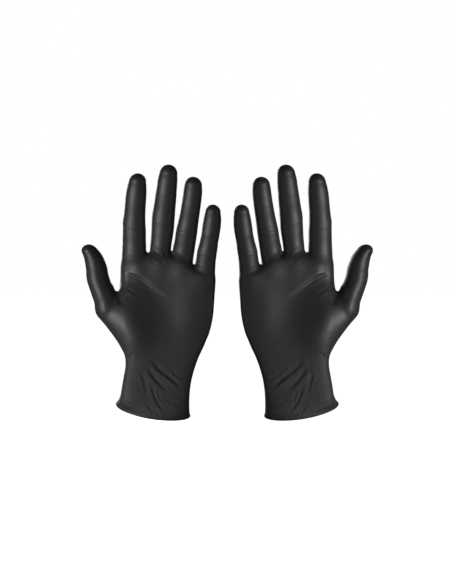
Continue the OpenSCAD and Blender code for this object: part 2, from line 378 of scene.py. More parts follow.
    def palm_distance(self, p: Array) -> Array:
        """Signed distance of each point from the skin of the wrist and palm."""
        x, y, z = p.T
        up = self.above_rim(p)
        low = self.low(z) - self.flare * np.clip(1.0 - up / self.flare_length, 0.0, 1.0) ** 4
        high = self.high(z) + self.little_flare * np.clip(1.0 - up / self.little_flare_length, 0.0, 1.0) ** 3
        half, middle = (high - low) / 2, (high + low) / 2
        depth = np.where(y < 0, self.front(z) + self.swelling(x, z), self.back(z) + self.knuckles(x, z))
        n = np.where(y < 0, self.powers[0](z), self.powers[1](z))
        n = n + (self.rim_squareness - n) * ease(1.0 - up / self.rim_round_length)
        a, b = np.abs(x - middle) / half, np.abs(y) / depth
        g = np.maximum((a**n + b**n) ** (1.0 / n), 1e-6)
        grad = np.sqrt(((a / g) ** (n - 1) / half) ** 2 + ((b / g) ** (n - 1) / depth) ** 2)
        side = (g - 1.0) / np.maximum(grad, 1.0 / np.maximum(half, depth))
        return smooth_max(side, z - self.web(x), self.palm_end_round)

    def distance(self, p: Array) -> Array:
        """Signed distance of each point from the whole skin."""
        fingers = np.min([d.distance(p) for d in self.digits[1:]], axis=0)
        hand = smooth_min(self.palm_distance(p), self.ball_distance(p), self.ball_fillet)
        outside = ease((-38.0 - p[:, 0]) / 8.0)
        fillet = self.crotch_fillet + (self.thumb_fillet - self.crotch_fillet) * outside
        body = smooth_min(hand, self.digits[0].distance(p), fillet)
        return smooth_min(body, fingers, self.web_fillet)

    def normals(self, p: Array) -> Array:
        """Outward unit normals of the skin's field at each point."""
        step = 0.2
        g = np.stack([self.distance(p + o) - self.distance(p - o) for o in np.eye(3) * step], axis=1)
        return g / np.maximum(np.linalg.norm(g, axis=1, keepdims=True), 1e-9)


# ---------------------------------------------------------------- folds in the film


@dataclass(frozen=True)
class Fold:
    """A crease pressed into the film along a curved path, with a soft ridge beside it.

    path holds (x, z) points. depth and ridge are heights in mm, width is how wide the crease is, and the
    ridge lies on the left of the path's direction when ridge_side is 1. spread makes the slopes away from the
    steep face between ridge and crease longer. The fold rises out of the plain film over start_fade and fades
    into it over end_fade, as shares of its length.
    """

    path: tuple[tuple[float, float], ...]
    depth: float = 0.3
    width: float = 0.9
    ridge: float = 0.15
    ridge_side: int = 1
    side: Side = Side.PALM
    spread: float = 1.0
    start_fade: float = 0.2
    end_fade: float = 0.35

    def height(self, p: Array, facing: Array) -> Array:
        """How far the fold moves each point outwards, in mm."""
        line = spline(self.path)
        reach = (3.0 + 2.5 * self.spread) * self.width + 2.0
        low, high = line.min(0) - reach, line.max(0) + reach
        near = np.all((p[:, (0, 2)] > low) & (p[:, (0, 2)] < high), axis=1)
        near &= facing * self.side.value > 0.05
        out = np.zeros(len(p))
        q = p[near][:, (0, 2)]
        if not len(q):
            return out
        best = np.full(len(q), 1e9)
        sign, along = np.zeros(len(q)), np.zeros(len(q))
        total = len(line) - 1
        for i, (a, b) in enumerate(zip(line[:-1], line[1:])):
            d = b - a
            t = np.clip(((q - a) @ d) / (d @ d), 0.0, 1.0)
            off = q - a - t[:, None] * d
            dist = np.hypot(*off.T)
            closer = dist < best
            best = np.where(closer, dist, best)
            sign = np.where(closer, np.sign(d[0] * off[:, 1] - d[1] * off[:, 0]), sign)
            along = np.where(closer, (i + t) / total, along)
        ends = ease(along / self.start_fade) * ease((1.0 - along) / self.end_fade)
        signed = best * sign * self.ridge_side
        crest = signed - 1.7 * self.width
        shape = self.ridge * bell(crest, self.width * np.where(crest > 0, 1.3 * self.spread, 1.3))
        shape -= self.depth * bell(signed, self.width * np.where(signed < 0, self.spread, 1.0))
        out[near] = shape * ends * ease(facing[near] * self.side.value / 0.4)
        return out


@dataclass
class FoldMap:
    """Every fold of one glove."""

    folds: list[Fold] = field(default_factory=list)

    def cross(self, digit: Digit, s: float, depth: float, width: float = 0.8, side: Side = Side.PALM,
              bend: float = 0.6) -> None:
        """Adds a crease across a digit.

        Args:
            digit: the digit.
            s: length along the digit from its root.
            depth: depth of the crease.
            width: width of the crease.
            side: face of the glove it is on.
            bend: how far its middle lies below its ends.
        """
        c, d = digit.point(s)[[0, 2]], digit.direction(s)[[0, 2]]
        n = np.array([d[1], -d[0]])
        r = float(digit.radius(np.array(s)))
        path = tuple(tuple(c + n * r * k - d * bend * (1 - k * k)) for k in (-0.95, -0.5, 0.0, 0.5, 0.95))
        self.folds.append(Fold(path, depth, width, ridge=0.2 * depth, side=side))

    def height(self, p: Array, facing: Array) -> Array:
        """Sum of the folds' heights at each point."""
        return sum((f.height(p, facing) for f in self.folds), np.zeros(len(p)))


def worn_folds(shape: HandShape) -> FoldMap:
    """Folds of a worn glove: joint creases, palm folds, pinches at the webs and slack at the wrist."""
    m = FoldMap()
    thumb, index, middle, ring, little = shape.digits
    for digit, s, depth in (
            (index, 26.5, 0.50), (index, 28.8, 0.20), (index, 2.5, 0.10), (index, 52.0, 0.14),
            (middle, 26.3, 0.60), (middle, 24.2, 0.16), (middle, 54.5, 0.14), (ring, 23.0, 0.40),
            (ring, 26.6, 0.45), (ring, 50.0, 0.14), (little, 16.6, 0.45), (little, 19.4, 0.22),
            (little, 34.6, 0.50), (little, 32.8, 0.14), (thumb, 30.5, 0.08)):
        m.cross(digit, s, depth, 0.9)
    for digit in shape.digits[1:]:
        for offset in (-3.8, -1.3, 1.4, 4.0):
            m.cross(digit, digit.marks[1] + offset, 0.22 - 0.02 * abs(offset), 0.9, Side.BACK, -0.5)
        for offset in (-1.4, 1.4):
            m.cross(digit, digit.marks[2] + offset, 0.14, 0.8, Side.BACK, -0.4)
    m.folds += [
        # The long fold across the palm, where the film bridges the hollow, with a sharp crease in its
        # first half.
        Fold(((-26.5, 130.2), (-18.7, 127.4), (-12.1, 124.4), (-6.3, 120.3), (0.4, 115.6), (8.0, 110.2),
              (17.0, 103.0)), 1.2, 2.3, ridge=0.75, spread=4.0),
        Fold(((-25.5, 129.9), (-18.7, 127.4), (-12.1, 124.4), (-6.3, 120.3), (0.4, 115.6)), 0.9, 0.75,
             ridge=0.0),
        Fold(((-24.0, 115.5), (-18.0, 112.2), (-11.0, 107.4)), 0.3, 0.8, ridge=0.2, ridge_side=-1,
             spread=2.2),
        # Short pinches fanning out from the webs between the fingers.
        Fold(((1.4, 153.4), (3.2, 151.0), (5.2, 148.2)), 0.5, 1.0, ridge=0.45),
        Fold(((9.2, 153.6), (10.8, 150.0), (12.6, 145.8)), 0.4, 1.0, ridge=0.45, ridge_side=-1),
        Fold(((-1.2, 143.4), (1.4, 140.4), (4.4, 137.6)), 0.25, 1.0, ridge=0.1),
        Fold(((7.4, 143.6), (10.0, 139.6), (14.0, 136.2)), 0.2, 1.1, ridge=0.08),
        Fold(((-4.2, 149.6), (-5.0, 146.6), (-7.4, 143.6)), 1.0, 1.5, ridge=0.2),
        Fold(((19.0, 149.6), (19.6, 146.4), (21.0, 142.8)), 1.6, 1.9, ridge=0.2),
        Fold(((39.8, 137.4), (40.6, 134.4), (43.6, 132.0), (48.4, 130.2), (53.6, 129.0)), 0.6, 2.0,
             ridge=0.1),
        Fold(((24.6, 138.6), (28.4, 136.6), (32.4, 135.8)), 0.2, 0.9, ridge=0.15),
        Fold(((25.4, 134.8), (28.6, 133.2), (33.4, 132.6)), 0.2, 0.9, ridge=0.15),
        Fold(((29.6, 131.4), (33.6, 129.4), (38.6, 126.8)), 0.15, 1.0, ridge=0.1),
        # The gap at the root of the thumb and the nick where the wrist bends.
        Fold(((-33.0, 112.4), (-30.8, 108.4), (-29.4, 104.0), (-28.6, 99.6)), 1.7, 2.1, ridge=0.0),
        Fold(((-17.6, 56.0), (-20.6, 52.0), (-23.4, 47.0)), 0.8, 1.1, ridge=0.3, ridge_side=-1),
        # Slack at the wrist, drawn into long slanting folds whose steep faces look to the little finger.
        Fold(((-2.6, 50.2), (3.6, 43.0), (10.2, 36.6), (18.3, 31.2), (23.5, 27.2), (30.6, 23.6)),
             0.9, 1.0, ridge=0.6, ridge_side=-1, spread=3.0),
        Fold(((-4.8, 42.0), (1.4, 32.9), (6.6, 26.8), (15.4, 18.2)), 0.9, 1.1, ridge=0.6, ridge_side=-1,
             spread=2.6),
        Fold(((17.0, 39.0), (23.5, 33.6), (31.4, 30.0)), 0.6, 0.8, ridge=0.45, ridge_side=-1, spread=2.6),
        Fold(((12.6, 33.8), (19.8, 28.2), (27.4, 20.8)), 0.6, 0.8, ridge=0.45, ridge_side=-1, spread=2.2),
        Fold(((-9.8, 38.4), (-8.2, 30.4), (-6.3, 23.1), (-5.0, 16.6)), 0.45, 0.8, ridge=0.3,
             ridge_side=-1, spread=3.0),
        Fold(((-2.2, 27.0), (2.2, 15.8), (6.6, 6.4), (14.4, -1.0)), 0.6, 0.8, ridge=0.4, ridge_side=-1,
             spread=2.6),
        Fold(((4.2, 20.4), (6.6, 14.6), (9.4, 8.6)), 0.4, 0.7, ridge=0.3, ridge_side=-1, spread=2.2),
        # Finer crumples towards the rolled edge.
        Fold(((-26.6, 10.8), (-17.0, 6.2), (-8.0, 2.2)), 0.4, 1.0, ridge=0.2, ridge_side=-1, spread=2.0),
        Fold(((-6.6, 8.6), (-0.8, 2.5), (2.6, -4.0)), 0.4, 0.8, ridge=0.3, ridge_side=-1, spread=2.0),
        Fold(((1.4, 3.6), (4.3, -0.4), (8.6, -5.2)), 0.35, 0.8, ridge=0.25, ridge_side=-1, spread=2.0),
        Fold(((14.2, 11.6), (19.8, 7.7), (25.0, 7.0)), 0.35, 0.8, ridge=0.2, ridge_side=-1, spread=2.0),
        Fold(((21.6, -2.8), (26.0, -4.4), (31.0, -4.0)), 0.3, 0.8, ridge=0.15, ridge_side=-1, spread=2.0),
        Fold(((-23.8, 22.6), (-19.0, 23.2), (-14.6, 25.2)), 0.2, 0.9, ridge=0.1, spread=2.0),
        Fold(((-21.0, 17.4), (-15.8, 19.2), (-12.0, 16.4), (-8.4, 17.0)), 0.25, 0.8, ridge=0.15, spread=2.0),
        Fold(((-14.6, 30.4), (-12.4, 27.2), (-9.4, 25.0)), 0.25, 0.8, ridge=0.15, ridge_side=-1, spread=2.0),
        Fold(((20.0, 17.0), (25.6, 12.6), (31.6, 11.2)), 0.3, 0.8, ridge=0.2, ridge_side=-1, spread=2.0)]
    # The back of the wrist has slack too, in fewer and plainer folds.
    for x, z, lean, length in (
            (-14, 44, 0.5, 14), (-4, 38, 0.3, 18), (8, 40, -0.2, 16), (19, 34, -0.4, 18),
            (-16, 20, 0.2, 12), (2, 16, -0.1, 16), (22, 14, -0.3, 14)):
        end = (x + lean * length / 2, z - length / 2)
        path = ((x, z + length / 2), (x + 0.8 + lean * length / 4, z), end)
        m.folds.append(Fold(path, 0.4, 1.3, ridge=0.3, side=Side.BACK))
    return m


# ---------------------------------------------------------------- skin as a mesh


@dataclass
class Skin:
    """A film surface as arrays. faces has four corners a row, and -1 for the last corner of a triangle."""

    points: Array
    faces: Array
    normals: Array

    def mirrored(self, across: float) -> "Skin":
        """The same skin reflected in the plane X = across, still facing outwards."""
        flip = np.array([-1.0, 1.0, 1.0])
        triangle = self.faces[:, 3] < 0
        faces = np.where(triangle[:, None], self.faces[:, (2, 1, 0, 3)], self.faces[:, ::-1])
        return Skin(self.points * flip + (2.0 * across, 0.0, 0.0), faces, self.normals * flip)


def face_normals(points: Array, faces: Array) -> Array:
    """Area-weighted normals of three- or four-cornered faces."""
    a, b, c = (points[faces[:, k]] for k in range(3))
    d = np.where(faces[:, 3:4] < 0, c, points[faces[:, 3]])
    return np.cross(c - a, d - b)


def point_normals(points: Array, faces: Array) -> Array:
    """Unit normals at the points, from the faces round each."""
    n = face_normals(points, faces)
    out = np.zeros_like(points)
    for k in range(4):
        use = faces[:, k] >= 0
        for axis in range(3):
            out[:, axis] += np.bincount(faces[use, k], n[use, axis], len(points))
    return out / np.maximum(np.linalg.norm(out, axis=1, keepdims=True), 1e-12)


def surface_net(distance: Callable[[Array], Array], low: Array, high: Array,
                step: float) -> tuple[Array, Array]:
    """Closed quad mesh of a field's zero surface.

    Args:
        distance: signed distance of points, in mm.
        low: lowest corner of the space.
        high: highest corner of the space.
        step: size of a cell.

    Returns:
        Points and quads, facing outwards.
    """
    axes = [np.arange(a, b + step, step) for a, b in zip(low, high)]
    x, y = (g.ravel() for g in np.meshgrid(axes[0], axes[1], indexing="ij"))
    values = np.empty([len(a) for a in axes])
    for k, z in enumerate(axes[2]):
        slab = distance(np.stack([x, y, np.full(len(x), z)], axis=1))
        values[:, :, k] = slab.reshape(values.shape[:2])
    inside, size = values < 0, np.array(values.shape)
    ids, places, quads = [], [], []
    for axis in range(3):
        u, v, w = np.roll(np.eye(3, dtype=int), axis, axis=1)
        pairs = [np.take(inside, np.arange(a, size[axis] - 1 + a), axis) for a in (0, 1)]
        edge = np.argwhere(pairs[0] != pairs[1])
        other = np.array([v, w]).T
        edge = edge[np.all((edge @ other >= 1) & (edge @ other < size @ other - 1), axis=1)]
        start, end = values[tuple(edge.T)], values[tuple((edge + u).T)]
        place = edge + u * (start / (start - end))[:, None]
        around = (0 * v, v, v + w, w)
        quad = np.stack([np.ravel_multi_index((edge - o).T, size) for o in around], axis=1)
        quads.append(np.where((start < 0)[:, None], quad, quad[:, ::-1]))
        ids.append(quad.ravel())
        places.append(np.repeat(place, 4, axis=0))
    found, index = np.unique(np.concatenate(ids), return_inverse=True)
    place, count = np.concatenate(places), np.bincount(index)
    points = np.stack([np.bincount(index, place[:, k]) / count for k in range(3)], axis=1)
    quads = np.searchsorted(found, np.concatenate(quads))
    return np.array([a[0] for a in axes]) + points * step, quads


def settle(points: Array, quads: Array, shape: HandShape, rounds: int = 3) -> Array:
    """Evens out a net's points and puts them exactly on the skin."""
    edges = np.sort(np.concatenate([quads[:, (a, (a + 1) % 4)] for a in range(4)]), axis=1)
    edges = np.unique(edges, axis=0)
    both = np.concatenate([edges, edges[:, ::-1]])
    count = np.bincount(both[:, 0], minlength=len(points))[:, None]
    for turn in range(rounds):
        if turn < rounds - 1:
            near = [np.bincount(both[:, 0], points[both[:, 1], k], len(points)) for k in range(3)]
            points = points + 0.7 * (np.stack(near, axis=1) / count - points)
        points = points - shape.distance(points)[:, None] * shape.normals(points)
    return points


@dataclass(frozen=True)
class Cut:
    """A plane that divides the skin where near says so."""

    point: Array
    normal: Array
    near: Callable[[Array], Array]


def divide(skin: Skin, cuts: Iterable[Cut], rim: Cut) -> tuple[Skin, Array]:
    """Divides the skin along the cuts and drops what lies below the rim.

    Returns:
        The divided skin, and the rim's points in order round it.
    """
    mesh = bpy.data.meshes.new("working_skin")
    mesh.from_pydata(skin.points.tolist(), [], [[i for i in f if i >= 0] for f in skin.faces.tolist()])
    bm = bmesh.new()
    bm.from_mesh(mesh)
    for cut in [*cuts, rim]:
        faces = list(bm.faces)
        middles = np.array([f.calc_center_median()[:] for f in faces])
        reach = np.abs((middles - cut.point) @ cut.normal) < 6.0
        if cut is rim:
            reach[:] = True
        chosen = [faces[i] for i in np.nonzero(reach & cut.near(middles))[0]]
        geom = [*chosen, *{e for f in chosen for e in f.edges}, *{v for f in chosen for v in f.verts}]
        bmesh.ops.bisect_plane(bm, geom=geom, dist=0.02, plane_co=Vector(cut.point),
                               plane_no=Vector(cut.normal), clear_inner=cut is rim)
    bmesh.ops.triangulate(bm, faces=[f for f in bm.faces if len(f.verts) > 4])
    bm.verts.index_update()
    points = np.array([v.co[:] for v in bm.verts])
    faces = np.array([[*(v.index for v in f.verts), -1][:4] for f in bm.faces])
    ahead = {}
    for e in bm.edges:
        if e.is_boundary:
            loop = e.link_loops[0]
            ahead[loop.vert.index] = loop.link_loop_next.vert.index
    start = next(iter(ahead))
    ring, at = [start], ahead[start]
    while at != start:
        ring.append(at)
        at = ahead[at]
    bm.free()
    bpy.data.meshes.remove(mesh)
    return Skin(points, faces, point_normals(points, faces)), points[ring]


def film_mesh(name: str, skin: Skin, chosen: Array, thickness: float,
              marks: dict[str, Array]) -> bpy.types.Object:
    """Closed thin film made of some of a skin's faces.

    Args:
        name: name of the piece.
        skin: whole skin that the piece is part of.
        chosen: which of its faces the piece has.
        thickness: thickness of the film, in mm, inwards from the skin.
        marks: values at the skin's points, kept as attributes of the mesh.

    Returns:
        The piece, at its place.
    """
    faces = skin.faces[chosen]
    used = np.unique(faces[faces >= 0])
    index = np.full(len(skin.points) + 1, -1)
    index[used] = np.arange(len(used))
    faces, n = index[faces], len(used)
    points, normals = skin.points[used], skin.normals[used]
    triangle = faces[:, 3] < 0
    inner = np.where(triangle[:, None], faces[:, (2, 1, 0, 3)], faces[:, ::-1])
    inner = np.where(inner >= 0, inner + n, -1)
    corners = np.where(triangle, 3, 4)
    following = np.roll(faces, -1, axis=1)
    following[triangle, 2] = faces[triangle, 0]
    used_edge = faces >= 0
    a, b = faces[used_edge], following[used_edge]
    key, back = a * n + b, b * n + a
    open_edge = ~np.isin(key, back)
    rim = np.stack([b[open_edge], a[open_edge], a[open_edge] + n, b[open_edge] + n], axis=1)
    polygons = np.concatenate([faces, inner, rim])
    corner_normals = np.concatenate([normals, -normals])
    flat = polygons[polygons >= 0]
    counts = np.concatenate([corners, corners, np.full(len(rim), 4)])
    mesh = bpy.data.meshes.new(name)
    mesh.vertices.add(2 * n)
    both_sides = np.concatenate([points, points - normals * thickness]) * MM
    mesh.vertices.foreach_set("co", both_sides.astype(np.float32).ravel())
    mesh.loops.add(len(flat))
    mesh.loops.foreach_set("vertex_index", flat.astype(np.int32))
    mesh.polygons.add(len(counts))
    starts = np.concatenate([[0], np.cumsum(counts)[:-1]])
    mesh.polygons.foreach_set("loop_start", starts.astype(np.int32))
    mesh.update(calc_edges=True)
    mesh.validate()
    for key_name, value in marks.items():
        attribute = mesh.attributes.new(key_name, "FLOAT", "POINT")
        attribute.data.foreach_set("value", np.tile(value[used], 2).astype(np.float32))
    mesh.normals_split_custom_set(corner_normals[flat].tolist())
    piece = bpy.data.objects.new(name, mesh)
    bpy.context.scene.collection.objects.link(piece)
    return piece


# ---------------------------------------------------------------- finishes


def linear(hex_colour: str) -> tuple[float, float, float, float]:
    """Linear RGBA of an sRGB hex colour."""
    parts = [int(hex_colour.lstrip("#")[i : i + 2], 16) / 255.0 for i in (0, 2, 4)]
    return (*((c / 12.92 if c <= 0.04045 else ((c + 0.055) / 1.055) ** 2.4) for c in parts), 1.0)


def add_node(tree: bpy.types.NodeTree, kind: str, links: dict[str | int, object] | None = None,
             **settings: object) -> bpy.types.Node:
    """Adds a node with its settings and links.

    Args:
        tree: tree that the node joins.
        kind: type of the node.
        links: value or source socket for each input, by name or number.
        settings: attributes of the node.

    Returns:
        The node.
    """
    node = tree.nodes.new(kind)
    for key, value in settings.items():
        setattr(node, key, value)
    for key, value in (links or {}).items():
        if isinstance(value, bpy.types.NodeSocket):
            tree.links.new(value, node.inputs[key])
        else:
            node.inputs[key].default_value = value
    return node


@dataclass(frozen=True)
class NitrileFilm:
    """Dipped nitrile rubber, chlorinated so that it slips on: a matt film with a soft broad shine.

    The film is a little thicker and blacker at the fingertips, where it drains while it sets, and has fine
    bumps there, because the former is textured for grip. Slack film is finely crinkled, which scatters the
    light, so it looks more matt towards the cuff.
    """

    name: str = "dipped_nitrile"
    colour: str = "#1e1e20"
    thin_colour: str = "#232327"
    tip_colour: str = "#171718"
    roughness: float = 0.45
    slack_roughness: float = 0.24
    ior: float = 1.50
    grain_mm: float = 0.9
    slack_mm: float = 5.0
    grip_mm: float = 1.3

    def material(self) -> bpy.types.Material:
        """Builds the material."""
        made = bpy.data.materials.new(self.name)
        made.use_nodes = True
        tree = made.node_tree
        tree.nodes.clear()
        place = add_node(tree, "ShaderNodeTexCoord").outputs["Object"]
        tip = add_node(tree, "ShaderNodeAttribute", attribute_name="tip_film").outputs["Fac"]
        slack = add_node(tree, "ShaderNodeAttribute", attribute_name="slack").outputs["Fac"]
        cloud = add_node(tree, "ShaderNodeTexNoise", {"Vector": place, "Scale": 1 / (22 * MM), "Detail": 3.0})
        # A colour mix takes its two colours at inputs 6 and 7, and gives the result at output 2.
        base = add_node(tree, "ShaderNodeMix", {
            0: cloud.outputs["Fac"], 6: linear(self.colour), 7: linear(self.thin_colour)}, data_type="RGBA")
        dark = add_node(tree, "ShaderNodeMix", {0: tip, 6: base.outputs[2], 7: linear(self.tip_colour)},
                        data_type="RGBA")
        grain = add_node(tree, "ShaderNodeTexNoise", {
            "Vector": place, "Scale": 1 / (self.grain_mm * MM), "Detail": 4.0, "Roughness": 0.6})
        grip = add_node(tree, "ShaderNodeTexVoronoi", {"Vector": place, "Scale": 1 / (self.grip_mm * MM)})
        stretched = add_node(tree, "ShaderNodeMapping", {
            "Vector": place, "Rotation": (0.0, 0.6, 0.0), "Scale": (1.0, 1.0, 0.35)})
        creep = add_node(tree, "ShaderNodeTexNoise", {
            "Vector": stretched.outputs[0], "Scale": 1 / (self.slack_mm * MM), "Detail": 5.0,
            "Roughness": 0.62, "Distortion": 0.6})
        even = add_node(tree, "ShaderNodeMapRange", {
            "Value": grain.outputs["Fac"], "To Min": self.roughness - 0.05, "To Max": self.roughness + 0.05})
        rough = add_node(tree, "ShaderNodeMath", {0: slack, 1: self.slack_roughness, 2: even.outputs[0]},
                         operation="MULTIPLY_ADD")
        fine = add_node(tree, "ShaderNodeBump", {
            "Height": grain.outputs["Fac"], "Strength": 0.22, "Distance": 0.06 * MM})
        grip_height = add_node(tree, "ShaderNodeMath", {0: grip.outputs["Distance"], 1: tip},
                               operation="MULTIPLY")
        gripped = add_node(tree, "ShaderNodeBump", {
            "Height": grip_height.outputs[0], "Strength": 0.35, "Distance": 0.15 * MM,
            "Normal": fine.outputs[0]})
        slack_height = add_node(tree, "ShaderNodeMath", {0: creep.outputs["Fac"], 1: slack},
                                operation="MULTIPLY")
        crept = add_node(tree, "ShaderNodeBump", {
            "Height": slack_height.outputs[0], "Strength": 0.35, "Distance": 1.2 * MM,
            "Normal": gripped.outputs[0]})
        shader = add_node(tree, "ShaderNodeBsdfPrincipled", {
            "Base Color": dark.outputs[2], "Roughness": rough.outputs[0], "IOR": self.ior,
            "Normal": crept.outputs[0], "Sheen Weight": 0.04, "Sheen Roughness": 0.5})
        add_node(tree, "ShaderNodeOutputMaterial", {"Surface": shader.outputs[0]})
        return made


@dataclass(frozen=True)
class RolledBead:
    """The same film rolled up into a solid bead, several layers thick: blacker and a little glossier."""

    name: str = "rolled_nitrile"
    colour: str = "#1c1c1d"
    roughness: float = 0.42
    layer_mm: float = 0.5

    def material(self) -> bpy.types.Material:
        """Builds the material."""
        made = bpy.data.materials.new(self.name)
        made.use_nodes = True
        tree = made.node_tree
        tree.nodes.clear()
        place = add_node(tree, "ShaderNodeTexCoord").outputs["Object"]
        layers = add_node(tree, "ShaderNodeTexNoise", {
            "Vector": place, "Scale": 1 / (self.layer_mm * MM), "Detail": 3.0})
        rough = add_node(tree, "ShaderNodeMapRange", {
            "Value": layers.outputs["Fac"], "To Min": self.roughness - 0.06, "To Max": self.roughness + 0.06})
        bump = add_node(tree, "ShaderNodeBump", {
            "Height": layers.outputs["Fac"], "Strength": 0.3, "Distance": 0.1 * MM})
        shader = add_node(tree, "ShaderNodeBsdfPrincipled", {
            "Base Color": linear(self.colour), "Roughness": rough.outputs[0], "IOR": 1.5,
            "Normal": bump.outputs[0]})
        add_node(tree, "ShaderNodeOutputMaterial", {"Surface": shader.outputs[0]})
        return made


# ---------------------------------------------------------------- the gloves


@dataclass
class CuffBead:
    """Bead rolled up at the edge of a cuff."""

    radius: float = 0.6
    unevenness: float = 0.25
    around: int = 12
    along: int = 420
    seed: int = 7

    def tree(self) -> bpy.types.NodeTree:
        """Node tree that rolls a round bead along a closed edge."""
        tree = bpy.data.node_groups.new("rolled_bead", "GeometryNodeTree")
        for name, kind in (("Edge", "Geometry"), ("Radius", "Float"), ("Unevenness", "Float"),
                           ("Around", "Int"), ("Along", "Int"), ("Seed", "Int"), ("Finish", "Material")):
            tree.interface.new_socket(name, in_out="INPUT", socket_type=f"NodeSocket{kind}")
        tree.interface.new_socket("Bead", in_out="OUTPUT", socket_type="NodeSocketGeometry")
        given = add_node(tree, "NodeGroupInput").outputs
        edge = add_node(tree, "GeometryNodeMeshToCurve", {"Mesh": given["Edge"]})
        even = add_node(tree, "GeometryNodeResampleCurve", {
            "Curve": edge.outputs[0], "Count": given["Along"]})
        wobble = add_node(tree, "ShaderNodeTexNoise", {
            "W": given["Seed"], "Scale": 1 / (9 * MM), "Detail": 1.0}, noise_dimensions="4D")
        centred = add_node(tree, "ShaderNodeMath", {0: wobble.outputs["Fac"], 1: 0.5},
                           operation="SUBTRACT")
        scaled = add_node(tree, "ShaderNodeMath", {
            0: centred.outputs[0], 1: given["Unevenness"], 2: 1.0}, operation="MULTIPLY_ADD")
        thick = add_node(tree, "GeometryNodeSetCurveRadius", {
            "Curve": even.outputs[0], "Radius": scaled.outputs[0]})
        profile = add_node(tree, "GeometryNodeCurvePrimitiveCircle", {
            "Resolution": given["Around"], "Radius": given["Radius"]})
        radius = add_node(tree, "GeometryNodeInputRadius")
        swept = add_node(tree, "GeometryNodeCurveToMesh", {
            "Curve": thick.outputs[0], "Profile Curve": profile.outputs[0], "Scale": radius.outputs[0]})
        smooth = add_node(tree, "GeometryNodeSetShadeSmooth", {0: swept.outputs[0]})
        real = add_node(tree, "GeometryNodeRealizeInstances", {0: smooth.outputs[0]})
        dressed = add_node(tree, "GeometryNodeSetMaterial", {
            "Geometry": real.outputs[0], "Material": given["Finish"]})
        add_node(tree, "NodeGroupOutput", {"Bead": dressed.outputs[0]})
        return tree

    def build(self, name: str, ring: Array, finish: bpy.types.Material) -> bpy.types.Object:
        """Rolls the bead along a ring of points, in mm, and returns it as a plain mesh."""
        path = bpy.data.meshes.new(f"{name}_path")
        n = len(ring)
        path.from_pydata((ring * MM).tolist(), [(i, (i + 1) % n) for i in range(n)], [])
        holder = bpy.data.objects.new(f"{name}_holder", path)
        bpy.context.scene.collection.objects.link(holder)
        roll = holder.modifiers.new("roll", "NODES")
        roll.node_group = self.tree()
        sockets = {i.name: i.identifier for i in roll.node_group.interface.items_tree if i.in_out == "INPUT"}
        for key, value in (("Radius", self.radius * MM), ("Unevenness", self.unevenness),
                           ("Around", self.around), ("Along", self.along), ("Seed", self.seed),
                           ("Finish", finish)):
            roll[sockets[key]] = value
        graph = bpy.context.evaluated_depsgraph_get()
        mesh = bpy.data.meshes.new_from_object(holder.evaluated_get(graph))
        mesh.name = name
        holder.modifiers.remove(roll)
        bpy.data.objects.remove(holder)
        piece = bpy.data.objects.new(name, mesh)
        bpy.context.scene.collection.objects.link(piece)
        return piece


@dataclass(frozen=True)
class Zone:
    """A stretch of the skin between two cuts, and the bodies it follows from its start to its end."""

    name: str
    bodies: tuple[str, ...]
    stands_for: tuple[str, ...]
    start: Array | None = None
    end: Array | None = None


